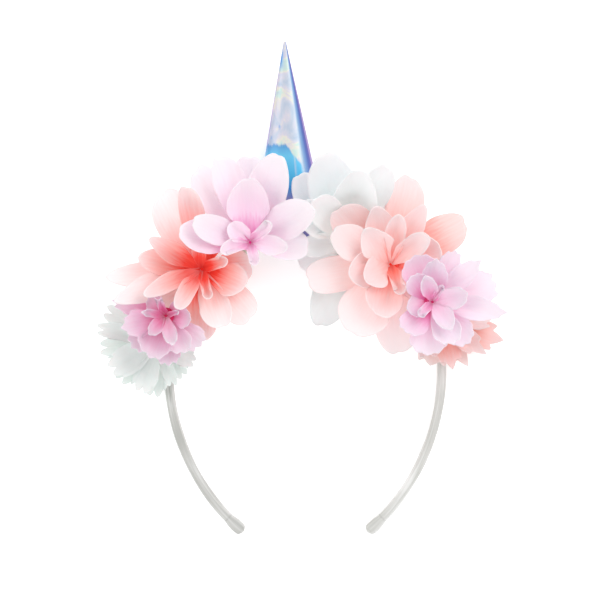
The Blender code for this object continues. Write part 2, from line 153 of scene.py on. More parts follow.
# a matt white board, lit a little from behind, gives the photograph's shadowless ground
board, boardShader = newMaterial(
    "mattWhiteBoard", Roughness=0.95, Specular_IOR_Level=0.1, Emission_Color=linear("#FFFFFF"),
    Emission_Strength=studio["boardGlow"],
)
grain = addNode(board, "ShaderNodeTexNoise", Scale=40.0, Detail=2.0)
boardTone = addNode(
    board, "ShaderNodeValToRGB", stops=[(0.3, "#FBFBFB"), (0.7, "#FDFDFD")], Fac=grain.outputs[0],
)
link(board, boardTone.outputs[0], boardShader.inputs["Base Color"])
floorSide = np.linspace(-studio["boardReach"], studio["boardReach"], 3)
floorPoints = np.stack(np.meshgrid(floorSide, floorSide, [0.0], indexing="ij"), -1)
floor = meshObject("floor", floorPoints, gridFaces(3, 3)[:, ::-1], board)

for name, (place, size, power) in studio["softboxes"].items():
    lightData = bpy.data.lights.new(name, "AREA")
    lightData.size = size
    lightData.energy = power
    light = bpy.data.objects.new(name, lightData)
    bpy.context.scene.collection.objects.link(light)
    light.location = place
    light.rotation_euler = (-Vector(place)).to_track_quat("-Z", "Y").to_euler()
world = bpy.data.worlds.new("softRoom")
bpy.context.scene.world = world
world.use_nodes = True
background = world.node_tree.nodes["Background"]
background.inputs["Color"].default_value = (1.0, 1.0, 1.0, 1.0)
background.inputs["Strength"].default_value = studio["roomLight"]
bpy.context.scene.view_settings.view_transform = "Standard"

print("stage: hoop")
hoop = {
    "crownRadius": 68.0 * mm,
    "sideRadius": 104.0 * mm,
    "sideSweep": math.radians(50.0),
    "depth": 7.0 * mm,
    "thickness": 5.0 * mm,
    "pleats": 0.24 * mm,
    "seamDepth": 0.9 * mm,
    "seamAt": -117.0 * mm,  # along the hoop from the crown, minus to the left
    "seamReach": 5.0 * mm,  # to either side of that
    # painted shade: the left leg's satin is darkened from here on, over the next length, by the share below
    "paintedShadeFrom": -70.0 * mm,  # along the hoop again, where the left leg starts to lie darker
    "paintedShadeOver": 40.0 * mm,
    "paintedShadeDepth": 0.135,
}
hoopLength = hoop["crownRadius"] * math.pi / 2 + hoop["sideRadius"] * hoop["sideSweep"]

# satin ribbon, woven polyester: a soft sheen and long fine threads along the hoop. They are
# drawn 1.2 mm apart where real ones lie about 0.1 mm apart, to show at all
satin, satinShader = newMaterial(
    "satinRibbon", Roughness=0.3, IOR=1.5, Sheen_Weight=0.35, Sheen_Roughness=0.3,
)
place = addNode(satin, "ShaderNodeTexCoord")
wide = addNode(
    satin, "ShaderNodeMapping", Vector=place.outputs["UV"], Scale=(1.0 / (30 * mm), 1.0 / (1.2 * mm), 1.0),
)
threads = addNode(satin, "ShaderNodeTexNoise", Vector=wide.outputs[0], Scale=1.0, Detail=3.0)
patches = addNode(
    satin, "ShaderNodeTexNoise", Vector=place.outputs["Object"], Scale=1.0 / (22 * mm), Detail=1.0,
)
both = addNode(
    satin, "ShaderNodeMix", {"data_type": "FLOAT"},
    _0=0.5, _2=threads.outputs[0], _3=patches.outputs[0],
)
satinTone = addNode(
    satin, "ShaderNodeValToRGB", Fac=both.outputs[0],
    stops=[(0.36, "#BCBDB8"), (0.50, "#CBCBC7"), (0.64, "#E4E4E2")],
)
# painted shade: the satin is darkened down the left leg, which lies in shade
paintedShadeMask = addNode(satin, "ShaderNodeAttribute", {"attribute_name": "leftLegPaintedShade"})
paintedShadeFactor = addNode(
    satin, "ShaderNodeMath", {"operation": "MULTIPLY_ADD"},
    _0=paintedShadeMask.outputs["Fac"], _1=-hoop["paintedShadeDepth"], _2=1.0,
)
paintedShadeSatin = addNode(satin, "ShaderNodeHueSaturation", Value=paintedShadeFactor.outputs[0], Color=satinTone.outputs[0])
link(satin, paintedShadeSatin.outputs[0], satinShader.inputs["Base Color"])
satinBump = addNode(
    satin, "ShaderNodeBump", Strength=0.5, Distance=0.2 * mm, Height=threads.outputs[0],
)
link(satin, satinBump.outputs[0], satinShader.inputs["Normal"])


def hoopPath(distance):
    # a half circle at the crown, then a circle of larger radius down each side
    side = np.sign(distance)
    far = np.abs(distance)
    quarter = hoop["crownRadius"] * math.pi / 2
    crownTurn = np.minimum(far, quarter) / hoop["crownRadius"]
    sideTurn = np.maximum(far - quarter, 0.0) / hoop["sideRadius"]
    x = hoop["crownRadius"] * np.sin(crownTurn) - hoop["sideRadius"] * (1.0 - np.cos(sideTurn))
    y = hoop["crownRadius"] * (np.cos(crownTurn) - 1.0) - hoop["sideRadius"] * np.sin(sideTurn)
    turn = crownTurn + sideTurn
    centre = np.stack([side * x, y, np.zeros_like(x)], -1)
    outward = np.stack([side * np.sin(turn), np.cos(turn), np.zeros_like(x)], -1)
    return centre, outward


def ribbonSurface(name, start, end, rows, halfThickness, halfDepth):
    # a rounded rectangle, |x/a|^4 + |y/b|^4 = 1, carried along the hoop; shallow lengthwise
    # pleats, sines of the turn a round it that shift as the hoop goes by, give the look of
    # ribbon pulled round it
    columns = 40
    along = np.linspace(start, end, rows)
    around = np.linspace(-math.pi / 2, 1.5 * math.pi, columns, endpoint=False)  # from the back face
    s, a = np.meshgrid(along, around, indexing="ij")
    cosine, sine = np.cos(a), np.sin(a)
    radius = (cosine ** 4 + sine ** 4) ** -0.25
    pleat = hoop["pleats"] * (
        np.sin(5 * a + s / (9 * mm)) * 0.5 + np.sin(3 * a - s / (16 * mm) + 1.0) * 0.5
    )
    # for 10 mm under the left flowers the ribbon's edges meet in a narrow seam down the front
    fromSeam = ((a - math.pi / 2) / 0.12) ** 2 + ((s - hoop["seamAt"]) / hoop["seamReach"]) ** 4
    pleat = pleat - hoop["seamDepth"] * np.exp(-fromSeam)
    across = (halfThickness(s) - hoop["pleats"]) * radius * cosine + pleat * cosine
    height = (halfDepth(s) - hoop["pleats"]) * radius * sine + pleat * sine
    centre, outward = hoopPath(s)
    points = centre + outward * across[..., None]
    points[..., 2] = hoop["depth"] / 2 + height
    uv = np.stack([s, a * 3.6 * mm], -1)
    # painted shade: 0 on the right leg and over the crown, rising to 1 down the left leg
    leftLegPaintedShade = {"leftLegPaintedShade": np.clip((hoop["paintedShadeFrom"] - s) / hoop["paintedShadeOver"], 0.0, 1.0)}
    faces = gridFaces(rows, columns, closed=True)
    ends = (range(columns - 1, -1, -1), range((rows - 1) * columns, rows * columns))
    piece = meshObject(name, points, faces, satin, uv=uv, attributes=leftLegPaintedShade, caps=ends)
    fixNormals(piece)
    return piece


def fixNormals(piece):
    # turns every face outward
    shape = bmesh.new()
    shape.from_mesh(piece.data)
    bmesh.ops.recalc_face_normals(shape, faces=shape.faces)
    shape.to_mesh(piece.data)
    shape.free()


def even(value):
    return lambda s: np.full_like(s, value)


ribbonTip = {
    "length": 10.0 * mm,
    "gap": 0.02 * mm,  # from the band's end to the folded ribbon
    "bulge": 1.6 * mm,
    "dome": 1.8 * mm,
    "edge": 0.15 * mm,
}
tipStart = hoopLength - ribbonTip["length"]
bandEnd = tipStart - ribbonTip["gap"]
band = ribbonSurface(
    "bandRibbon", -bandEnd, bandEnd, 320, even(hoop["thickness"] / 2), even(hoop["depth"] / 2),
)
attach(band, "root")
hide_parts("band")


def dome(s):
    # sqrt(1 - x^2) over the last part of the tip: it closes in a quarter of an ellipse
    into = (np.abs(s) - (hoopLength - ribbonTip["dome"])) / ribbonTip["dome"]
    return np.sqrt(1.0 - np.clip(into, 0.0, 0.995) ** 2)


def tipThickness(s):
    # the hoop's thickness and a share of the bulge, by straight lines along the tip: the ribbon
    # swells over the fold and is drawn in at the very end
    share = (np.abs(s) - tipStart) / ribbonTip["length"]
    grown = np.interp(share, (0.0, 0.18, 0.45, 0.72, 0.90, 1.0), (0.0, 0.55, 1.0, 0.95, 0.55, -0.35))
    half = (hoop["thickness"] + grown * ribbonTip["bulge"]) / 2
    return half * dome(s) + ribbonTip["edge"] * (1.0 - dome(s))


def tipDepth(s):
    # the hoop's depth, less a share that grows by straight lines over the tip's last quarter
    share = (np.abs(s) - tipStart) / ribbonTip["length"]
    drawnIn = np.interp(share, (0.0, 0.72, 0.90, 1.0), (0.0, 0.0, 0.06, 0.20))
    return hoop["depth"] / 2 * (1.0 - drawnIn) * dome(s)


for side, name in ((-1, "left"), (1, "right")):
    tip = ribbonSurface(
        "ribbonTip_" + name, side * tipStart, side * hoopLength, 64, tipThickness, tipDepth,
    )
    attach(tip, "root")
    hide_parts("ribbon_tip_" + name)

print("stage: petals")
cut = {
    "longest": 46.0 * mm,
    "broadest": 22.0 * mm,
    "highestHeart": 24.0 * mm,
    "hubOffset": 6.0 * mm,
    "wall": 1.0 * mm,  # the solids' wall, which the petals' places are worked out with
    "clearance": 0.25 * mm,
    "gap": 0.3 * mm,
    "disc": 5.0 * mm,
    "root": 2.2 * mm,
    "widest": 0.64,
    "tip": 0.68,
    "rounding": 0.17,
    "bend": 0.45,
    "cup": 0.30,
    "coreSides": 10,
    "steepest": 66.0,
    "spaceBreadth": 0.94,  # the share of its solid's breadth that is kept free for a petal's cloth
    "spaceWall": 0.4 * mm,
}
# shares of the size, degrees of turn and of rise that a petal may be moved by, the least first
nudges = sorted(
    product((1.0, 0.85, 0.7, 0.55), (0, -4, 4, -8, 8, -12, 12), range(-12, 31, 3)),
    key=lambda nudge: (100 * (1.0 - nudge[0]) + 2 * abs(nudge[1]) + abs(nudge[2]), nudge),
)

# Each petal row: turn, degrees from +X towards +Y; reach and breadth, shares of the flower's;
# rise, the degrees at which the tip stands above the heart. Layers run from the back. The words
# that follow change the cloth alone: deep, rich or pale dye; the word for painted shade, which darkens
# a petal that lies in shade; folded, furled, pointed, short. A flower's stops are its dye from the heart to
# the tips.
flowers = [
    {
        "name": "mint_left", "hub": -78.3, "outward": 1.0, "height": 0.17, "lean": 10.0,
        "reach": 0.70, "breadth": 0.68, "teeth": 4, "toothDepth": 0.14, "lobed": True,
        "stops": ((0.0, "#C4CFC8"), (0.35, "#D2DDD8"), (0.75, "#D6E1DD"), (1.0, "#DCE4E1")),
        "layers": ((
            (150, 1.00, 0.80, 4),
            (186, 0.94, 0.75, 4),
            (224, 0.88, 0.80, 4, "deep"),
            (262, 0.84, 0.75, 4),
            (305, 0.66, 0.60, 4),
        ), (
            (168, 1.00, 0.75, 14, "folded"),
            (206, 0.86, 0.90, 14, "pale"),
            (243, 0.84, 0.75, 14),
            (284, 0.74, 0.60, 14, "deep", "folded"),
            (330, 0.66, 0.60, 14),
        )),
    },
    {
        "name": "coral_right", "hub": 70.4, "outward": 0.6, "height": 0.17, "lean": 10.0,
        "reach": 0.74, "breadth": 0.64, "teeth": 3, "toothDepth": 0.21,
        "stops": ((0.0, "#E0402A"), (0.28, "#E69488"), (0.6, "#E0BBB8"), (1.0, "#D8CAC9")),
        "layers": ((
            (346, 0.94, 0.92, 4, "deep"),
            (302, 0.74, 0.75, 4, "pointed"),
            (264, 0.65, 1.00, 4),
            (222, 0.54, 0.70, 4),
        ), (
            (325, 0.79, 0.70, 12, "pointed"),
            (283, 0.70, 0.80, 12, "deep", "pointed"),
            (242, 0.60, 0.80, 12),
            (8, 0.80, 0.70, 12, "pale"),
        )),
    },
    {
        "name": "mint_right", "hub": 17.1, "outward": 0.0, "height": 0.25, "lean": 8.0,
        "reach": 1.00, "breadth": 0.95, "teeth": 0, "toothDepth": 0.0,
        "stops": ((0.0, "#D0DED7"), (0.3, "#EDF4F2"), (0.7, "#F1F7F8"), (1.0, "#EFEDEF")),
        "layers": ((
            (125, 0.88, 0.80, 8, "pale"),
            (85, 0.98, 0.72, 8),
            (46, 0.72, 0.80, 8, "pale"),
            (203, 0.56, 0.75, 10, "pale"),
            # painted shade: this petal lies in shade under the flowers over it, and its colour is darkened
            (254, 0.96, 0.75, 3, "deep", "grey"),
        ), (
            (104, 0.94, 1.00, 16, "pale"),
            (64, 0.93, 0.74, 16),
            (190, 0.50, 0.70, 26, "pale", "folded"),
            (150, 0.60, 0.80, 24, "pale"),
        ), (
            (80, 0.78, 0.92, 27, "deep"),
            (125, 0.56, 0.80, 36),
        )),
    },
    {
        "name": "coral", "hub": -45.0, "outward": 0.68, "height": 0.38, "lean": 10.0,
        "reach": 1.00, "breadth": 0.86, "teeth": 0, "toothDepth": 0.0,
        "stops": ((0.0, "#D81608"), (0.2, "#EA4636"), (0.42, "#F3A8A1"), (0.7, "#F5D4D3"), (1.0, "#F6E6E7")),
        "layers": ((
            (117, 0.95, 1.00, 4, "pale"),
            (76, 0.60, 0.80, 4, "deep"),
            (185, 1.09, 0.60, 4, "pale", "pointed"),
            (222, 0.76, 0.60, 8, "pale", "pointed"),
            (4, 0.63, 1.00, 6, "deep"),
            (314, 0.76, 0.90, 8),
            (272, 0.76, 0.85, 8, "deep"),
        ), (
            (100, 0.92, 0.60, 12, "deep"),
            (169, 0.72, 0.70, 20, "deep", "pointed"),
            (200, 1.00, 0.60, 16, "pale", "pointed"),
            (291, 0.68, 0.75, 20, "pale"),
            (338, 0.50, 0.80, 22, "deep"),
        ), (
            (150, 0.64, 0.50, 32, "deep", "pointed"),
            (205, 0.70, 0.60, 32, "folded", "pointed"),
            (240, 0.50, 0.60, 40, "folded"),
            (20, 0.30, 0.70, 48, "deep", "furled"),
            (96, 0.40, 0.60, 44, "deep", "furled"),
            (284, 0.34, 0.60, 46, "deep", "furled"),
        )),
    },
    {
        "name": "blush", "hub": -22.9, "outward": 0.25, "height": 0.75, "lean": 10.0,
        "reach": 1.00, "breadth": 0.91, "teeth": 0, "toothDepth": 0.0,
        "paleHeart": 0.14,
        "stops": ((0.0, "#CC2C78"), (0.2, "#E488BA"), (0.42, "#F0D0E3"), (0.75, "#F3E0EB"), (1.0, "#F3E7EF")),
        "layers": ((
            (127, 0.99, 0.80, 8, "pale"),
            (90, 0.96, 0.78, 8, "pale"),
            (48, 0.82, 0.85, 10, "short"),
            (183, 0.89, 1.00, 8, "deep"),
            (356, 0.62, 0.70, 14, "pale"),
        ), (
            (109, 0.97, 0.72, 16),
            (72, 0.96, 0.90, 16, "pale"),
            (30, 0.77, 0.95, 20, "pale"),
            (160, 0.68, 0.78, 22, "pale", "folded"),
        ), (
            (94, 0.70, 0.92, 32, "deep"),
            (200, 0.34, 0.75, 46, "furled", "pointed"),
            (48, 0.32, 0.60, 52, "furled"),
            (283, 0.26, 0.60, 46, "furled"),
            (142, 0.42, 0.65, 44, "pale", "folded", "short"),
            (5, 0.42, 0.65, 42, "pale", "folded", "pointed"),
        )),
    },
    {
        "name": "pink_left", "hub": -67.8, "outward": 1.0, "height": 0.75, "lean": 10.0,
        "reach": 0.70, "breadth": 0.68, "teeth": 5, "toothDepth": 0.12,
        "paleHeart": 0.06,
        "stops": ((0.0, "#B80A46"), (0.25, "#D25590"), (0.5, "#DDA2C0"), (0.8, "#DABED0"), (1.0, "#DACAD8")),
        "layers": ((
            (164, 0.91, 0.60, 8, "pointed"),
            (222, 0.74, 0.90, 8),
            (272, 0.78, 0.75, 8),
            (318, 0.72, 0.80, 8, "pale"),
        ), (
            (194, 0.72, 0.85, 18, "pointed"),
            (248, 0.72, 1.00, 20),
            (298, 0.66, 0.75, 20, "pale"),
            (44, 0.48, 0.70, 30, "folded"),
            (134, 0.40, 0.60, 34, "pointed"),
            (352, 0.40, 0.60, 30),
        ), (
            (110, 0.26, 0.50, 54, "deep", "furled"),
            (170, 0.36, 0.60, 44, "furled", "pointed"),
            (228, 0.40, 0.60, 44, "folded", "pointed"),
            (285, 0.46, 0.60, 44, "pale", "folded"),
            (22, 0.30, 0.50, 52, "furled"),
        )),
    },
    {
        "name": "peach", "hub": 38.1, "outward": 0.0, "height": 0.62, "lean": 4.0,
        "reach": 1.00, "breadth": 1.00, "teeth": 0, "toothDepth": 0.0,
        "paleHeart": 0.06,
        "stops": ((0.0, "#E22C1E"), (0.2, "#F2867A"), (0.42, "#F6C3BF"), (0.72, "#F6D8D8"), (1.0, "#F2DCDD")),
        "layers": ((
            (133, 0.99, 1.00, 8, "deep"),
            (81, 0.97, 0.72, 8, "deep"),
            (29, 0.93, 0.75, 8, "deep", "rich"),
            (191, 0.93, 0.75, 6),
            (240, 0.85, 1.00, 8, "pale"),
            (276, 0.97, 0.85, 6, "pale"),
            (318, 0.70, 0.80, 4),
        ), (
            (150, 0.70, 0.70, 24, "pale"),
            (106, 0.67, 0.65, 24, "pointed"),
            (60, 0.74, 0.55, 20, "folded", "pointed"),
            (18, 0.56, 0.80, 24, "deep"),
            (194, 0.48, 0.75, 30, "pointed"),
            (258, 0.58, 0.75, 26, "deep"),
        ), (
            (126, 0.48, 0.65, 44, "pale", "pointed"),
            (80, 0.58, 0.60, 38, "folded", "pointed"),
            (40, 0.50, 0.65, 38, "pale", "folded"),
            (210, 0.32, 0.65, 50, "pale", "pointed"),
            (290, 0.36, 0.65, 46, "deep", "furled"),
        )),
    },
    {
        "name": "pink_right", "hub": 60.8, "outward": 0.6, "height": 1.00, "lean": 4.0,
        "reach": 0.74, "breadth": 0.73, "teeth": 5, "toothDepth": 0.08,
        "paleHeart": 0.12,
        "stops": ((0.0, "#B81054"), (0.2, "#E276AC"), (0.45, "#E9C0D7"), (0.75, "#E6D1E1"), (1.0, "#E1D4E2")),
        "layers": ((
            (111, 0.73, 1.00, 12, "deep"),
            (66, 0.83, 0.65, 12),
            (15, 0.99, 1.00, 10, "pale"),
            (314, 0.81, 0.78, 10),
            (274, 0.78, 1.00, 10),
            (236, 0.58, 0.80, 12, "deep"),
        ), (
            (40, 0.92, 0.60, 22, "pale", "pointed"),
            (352, 1.08, 0.65, 18, "pale", "pointed"),
            (86, 0.64, 0.75, 26, "pointed"),
            (296, 0.70, 0.80, 24, "pale"),
            (132, 0.50, 0.75, 30, "deep"),
            (190, 0.40, 0.75, 34, "pointed"),
        ), (
            (16, 0.54, 0.85, 40, "pale", "folded"),
            (108, 0.42, 0.65, 46, "folded", "pointed"),
            (304, 0.48, 0.80, 40, "pale", "folded", "pointed"),
            (62, 0.40, 0.65, 48, "furled", "pointed"),
            (224, 0.30, 0.65, 50, "furled"),
        )),
    },
]


def flowerPlace(flower):
    # the heart stands on the hoop's outward direction, at its height over the front face
    distance = hoop["crownRadius"] * math.radians(flower["hub"])
    centre, outward = hoopPath(np.array([distance]))
    outward = outward[0]
    heart = centre[0] + outward * flower["outward"] * cut["hubOffset"]
    heart[2] = hoop["depth"] + flower["height"] * cut["highestHeart"]
    lean = math.radians(flower["lean"])
    axis = outward * math.sin(lean) + np.array([0.0, 0.0, math.cos(lean)])
    return heart, axis


def discPlane(axis):
    # two directions at right angles in the plane of a flower's disc, the first nearest to +X
    right = unit(np.array([1.0, 0.0, 0.0]) - axis * axis[0])
    return right, np.cross(axis, right)


def petalSpine(heart, axis, reach, turn, rise):
    # root (1 - s)^2 + 2 bend s (1 - s) + tip s^2: it leaves the disc in the disc's plane and
    # bends up to the tip
    t = math.radians(turn)
    outward = np.array([math.cos(t), math.sin(t), 0.0])
    tip = heart + outward * reach + np.array([0.0, 0.0, reach * math.tan(math.radians(rise))])
    level = unit(outward - axis * outward.dot(axis))
    root = heart + level * cut["disc"]
    return root, root + level * (cut["bend"] * reach), tip, unit(np.cross(axis, level)), axis


def onPetal(spine, s, x, lift):
    # the point a share s along the spine, x to its side and lift off it, for whole arrays
    root, bend, tip, across, axis = spine
    s1 = s[..., None]
    middle = root * (1 - s1) ** 2 + bend * 2 * s1 * (1 - s1) + tip * s1 ** 2
    forward = unit((bend - root) * (1 - s1) + (tip - bend) * s1)
    up = np.cross(forward, across)
    up *= np.sign(up @ axis)[..., None]
    return middle + across * x[..., None] + up * lift[..., None]


def coarsePetal(spine, breadth, thickness):
    # the solids' petal: its half breadth grows with sin^2 to where it is widest, then falls with
    # the square of the way past that, and its sides rise with the square of x. It is 5 rows of 4
    # points, on two faces a wall apart
    along = np.array([0.0, 0.24, 0.50, 0.78, 1.0])[:, None]
    side = np.array([-1.0, -0.42, 0.42, 1.0])[None, :]
    grown = np.sin(math.pi / 2 * np.minimum(along / cut["widest"], 1.0)) ** 2
    past = np.maximum(along - cut["widest"], 0.0) / (1.0 - cut["widest"])
    half = np.where(
        along < cut["widest"],
        (cut["root"] + (breadth - cut["root"]) * grown) / 2,
        breadth * (1.0 - (1.0 - cut["tip"]) * past ** 2) / 2,
    )
    s = along * (1.0 - cut["rounding"] * along * side ** 2)
    lift = cut["cup"] * half * side ** 2 * np.minimum(1.0, 3.0 * along)
    grid = onPetal(spine, s, side * half, lift)
    normal = unit(np.cross(np.gradient(grid, axis=0), np.gradient(grid, axis=1)))
    normal[0] = spine[4]
    faces = gridFaces(5, 4)
    rim = [(i, 0) for i in range(5)] + [(4, j) for j in range(1, 4)] + [(i, 3) for i in range(3, -1, -1)]
    ring = [4 * i + j for i, j in rim]
    sides = [(a, b, b + 20, a + 20) for a, b in zip(ring, ring[1:] + ring[:1])]
    points = np.concatenate([
        (grid + normal * thickness / 2).reshape(-1, 3), (grid - normal * thickness / 2).reshape(-1, 3)
    ])
    return BVHTree.FromPolygons(points.tolist(), faces.tolist() + (faces + 20).tolist() + sides)


def settledPetals():
    # the same rule as the solids: each petal takes the least nudge that clears all before it.
    # spaces are narrower, thinner petals in the same places, to be kept free for the cloth
    standing = [("horn", BVHTree.FromObject(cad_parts["horn"], graph))]
    for flower in flowers:
        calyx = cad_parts[flower["name"] + "_calyx"]
        standing.append((flower["name"], BVHTree.FromObject(calyx, graph)))
        standing.append((flower["name"], coreTree(flower)))
    settled, spaces = {}, []
    for flower in flowers:
        heart, axis = flowerPlace(flower)
        for layer, rows in zip(("outer", "middle", "inner"), flower["layers"]):
            found = []
            for turn, reach, breadth, rise, *words in rows:
                reach *= flower["reach"] * cut["longest"]
                breadth *= flower["breadth"] * cut["broadest"]
                others = [tree for name, tree in standing if name != flower["name"]]
                for size, addTurn, addRise in nudges:
                    steep = min(rise + addRise, cut["steepest"])
                    spine = petalSpine(heart, axis, reach * size, turn + addTurn, steep)
                    tree = coarsePetal(spine, breadth * size, cut["wall"] + 2 * cut["clearance"])
                    if not any(tree.overlap(other) for other in others):
                        break
                owner = flower["name"] + layer
                space = coarsePetal(spine, cut["spaceBreadth"] * breadth * size, cut["spaceWall"])
                standing.append((owner, coarsePetal(spine, breadth * size, cut["wall"])))
                spaces.append((owner, space))
                found.append((spine, reach * size, breadth * size, words))
            settled[flower["name"], layer] = (heart, axis, found)
            heart = heart + axis * (cut["wall"] + cut["gap"])
    return settled, spaces


def coreTree(flower):
    # all the flower's discs as one post, a regular polygon carried along the axis, which the
    # petals of the other flowers keep clear of
    heart, axis = flowerPlace(flower)
    right, upward = discPlane(axis)
    n = cut["coreSides"]
    turns = np.linspace(0.0, 2 * math.pi, n, endpoint=False)[:, None]
    ring = (right * np.cos(turns) + upward * np.sin(turns)) * (cut["disc"] + cut["gap"])
    thick = cut["wall"] / 2 + cut["gap"]
    top = axis * ((len(flower["layers"]) - 1) * (cut["wall"] + cut["gap"]) + thick)
    points = np.concatenate([heart - axis * thick + ring, heart + top + ring])
    faces = [(i, (i + 1) % n, n + (i + 1) % n, n + i) for i in range(n)]
    faces += [tuple(range(n - 1, -1, -1)), tuple(range(n, 2 * n))]
    return BVHTree.FromPolygons(points.tolist(), faces)


cloth = {
    "thick": 0.35 * mm,
    "rows": 26,
    "columns": 21,
    "toothedColumns": 33,
    "fuller": 1.14,  # the cloth's breadth, as a share of the solid's
    "calmest": 0.98,  # the same where every wave is gone
    "steps": 15,  # tries to clear a petal of the others
    "gathered": 0.6 * mm,  # from the heart to where a petal's cloth starts
    "nearHeart": 6,  # rows that may touch the next layer, where the layers are gathered
    "heartDisc": 4.2 * mm,
    "heartDye": 0.03,  # the place of the disc's rim in the dye
    "pointed": 0.5,  # from a round tip, 0, to a sharp one, 1
    "short": 0.62,
    "folded": 1.0,
    "furled": 1.9,
    "rolled": 78.0,  # degrees to either side, for a fold of 1
    "rolledMore": 24.0,  # degrees more on one side than on the other
    "furledTeeth": 0.3,
    "fullSize": 30.0 * mm,  # a shorter petal has lower waves
    "crease": 0.45,  # this and the next five are in mm, on a petal of full size
    "pleats": 0.10,
    "edgeWave": 0.6,
    "bow": 0.5,
    "tipCurl": 1.2,
    "sway": 0.6,
    "twist": 0.22,  # the slope from side to side that the tip may reach
    "discRings": 5,
    "discSides": 24,
}
dyes = {
    "paleStart": 0.10,  # how far along the dye a pale petal starts
    "deepEnd": 0.20,  # how far before its end a deep petal stops
    "richEnd": 0.25,  # the same for a rich one, to be added
    # painted shade: the share of its colour that a petal marked for painted shade keeps
    "grey": 0.77,
    "whitest": 0.24,  # how far a petal of tone 1 goes to white
    "toneSpread": 0.1,
    "streaks": 0.22,
    "streakBreadth": 1.0 * mm,
    "streakLength": 11.0 * mm,
    "weave": 0.7 * mm,
    # painted light: the strength of the emission at the heart, which lightens the shade round it
    "paintedGlow": 0.17,
}


def clothPetal(spine, reach, breadth, words, flower, depth, calm, smaller):
    # a fan of lines from the root to a rounded tip: a line at angle f ends at
    # (b sin f, y0 + (1 - y0) cos^0.85 f). A pointed tip lies half way from there to
    # y0 + (1 - y0) (1 - |sin f|^1.2). Over it lie the cup x^2 / b, a crease down the middle, fine
    # pleats, a wave along each edge, a twist that grows to the tip, and the tip's own curl. A
    # petal is rolled up, most of all a folded or furled one: x becomes sin(kx) / k and the lift
    # grows by (1 - cos(kx)) / k
    columns = cloth["toothedColumns"] if flower["teeth"] else cloth["columns"]
    along, aside = np.linspace(0.0, 1.0, cloth["rows"]), np.linspace(-1.0, 1.0, columns)
    v, u = np.meshgrid(along, aside, indexing="ij")
    phase, ruffle = random.uniform(0.0, 6.28), random.uniform(0.5, 1.1) * (1.0 - calm)
    tipCurl, sway, twist, bow, fold = random.uniform(-1.0, 1.0, 5) * (1.0 - calm)
    f = u * math.pi / 2
    pointed = cloth["pointed"] * ("pointed" in words)
    folded = (cloth["folded"] * ("folded" in words) + cloth["furled"] * ("furled" in words)) * (1.0 - calm)
    y0 = cut["widest"] - 0.12 * pointed
    half = breadth * (cloth["fuller"] + (cloth["calmest"] - cloth["fuller"]) * calm) / 2
    grown = cut["root"] / breadth + (1.0 - cut["root"] / breadth) * np.sin(math.pi / 2 * v) ** 1.15
    rounded = np.cos(f) ** 0.85
    end = y0 + (1.0 - y0) * (rounded + pointed * (1.0 - np.abs(np.sin(f)) ** 1.2 - rounded))
    if flower.get("lobed"):
        notch = 1.0 - np.abs(np.sin(flower["teeth"] * math.pi * (u + 1.0) / 2)) ** 0.7
    else:
        notch = np.abs((u * flower["teeth"] / 2 + 0.5) % 1.0 - 0.5) * 2.0
    toothDepth = flower["toothDepth"] * (cloth["furledTeeth"] if "furled" in words else 1.0)
    end = end * (1.0 - toothDepth * notch * np.cos(f) ** 0.3)
    end = end * (1.0 + 0.018 * np.sin(5.0 * u + phase) - 0.03 * np.exp(-(u / 0.12) ** 2))
    s = v * end * smaller * (cloth["short"] if "short" in words else 1.0)
    x = half * grown * np.sin(f) * (1.0 + 0.04 * np.sin(7.0 * v + phase))
    cup = cut["cup"] * (1.0 + 0.45 * fold + 0.35 * depth * (1.0 - calm))
    lift = cup * x ** 2 / (half * grown) * np.minimum(1.0, 3.0 * s)
    size = min(1.0, reach / cloth["fullSize"])
    tipCurl = (tipCurl + (0.4 * depth - 0.5) * (1.0 - calm)) * cloth["tipCurl"]
    lift += size * mm * (
        - cloth["crease"] * np.exp(-(u / 0.10) ** 2) * v * (1.2 - v)
        + cloth["pleats"] * np.sin(17.0 * u + phase) * v
        + ruffle * cloth["edgeWave"] * np.abs(u) ** 3 * np.sin(8.0 * v + phase + 2.0 * np.sign(u)) * v
        + cloth["bow"] * bow * np.sin(math.pi * v)
        + tipCurl * np.clip(v - 0.6, 0.0, 1.0) ** 2 / 0.16
    )
    lift += cloth["twist"] * twist * x * v ** 2
    flatX = x + sway * cloth["sway"] * mm * size * v ** 2
    rolled = np.radians(cloth["rolled"] + cloth["rolledMore"] * twist * np.sign(u))
    roll = (0.05 + folded * rolled * np.clip(v / 0.3, 0.0, 1.0)) / half
    lift = lift * np.cos(roll * x) + (1.0 - np.cos(roll * x)) / roll
    points = onPetal(spine, s, np.sin(roll * x) / roll + flatX - x, lift)
    step = np.linspace(0.0, 1.0, 25)
    length = np.linalg.norm(np.diff(onPetal(spine, step, 0 * step, 0 * step), axis=0), axis=1).sum()
    # the dye's place along the petal: 0 at the heart, 1 at the tip
    start = flower.get("paleHeart", 0.0) * depth / 2 + dyes["paleStart"] * ("pale" in words)
    reached = 1.0 - dyes["deepEnd"] * ("deep" in words) - dyes["richEnd"] * ("rich" in words)
    dyed = start + (1.0 - start) * s * reached
    return points, np.stack([flatX, s * length], -1), dyed


def clearPetal(spine, reach, breadth, words, flower, depth, owner, standing):
    # a petal is tried with its waves ever calmer, then cut ever smaller, until it crosses nothing
    # built before it and no space of a later petal. The rows near the heart are left out
    best, least = None, None
    for step in np.linspace(0.0, 1.4, cloth["steps"]):
        calm, smaller = min(step, 1.0), 1.0 - 0.6 * max(step - 1.0, 0.0)
        made = clothPetal(spine, reach, breadth * smaller, words, flower, depth, calm, smaller)
        grid = made[0][cloth["nearHeart"]:]
        faces = gridFaces(*grid.shape[:2]).tolist()
        tree = BVHTree.FromPolygons(grid.reshape(-1, 3).tolist(), faces)
        crossed = sum(len(tree.overlap(other)) for name, other in standing if name != owner)
        if least is None or crossed < least:
            best, least, kept = made, crossed, tree
        if crossed == 0:
            break
    return best, least, kept


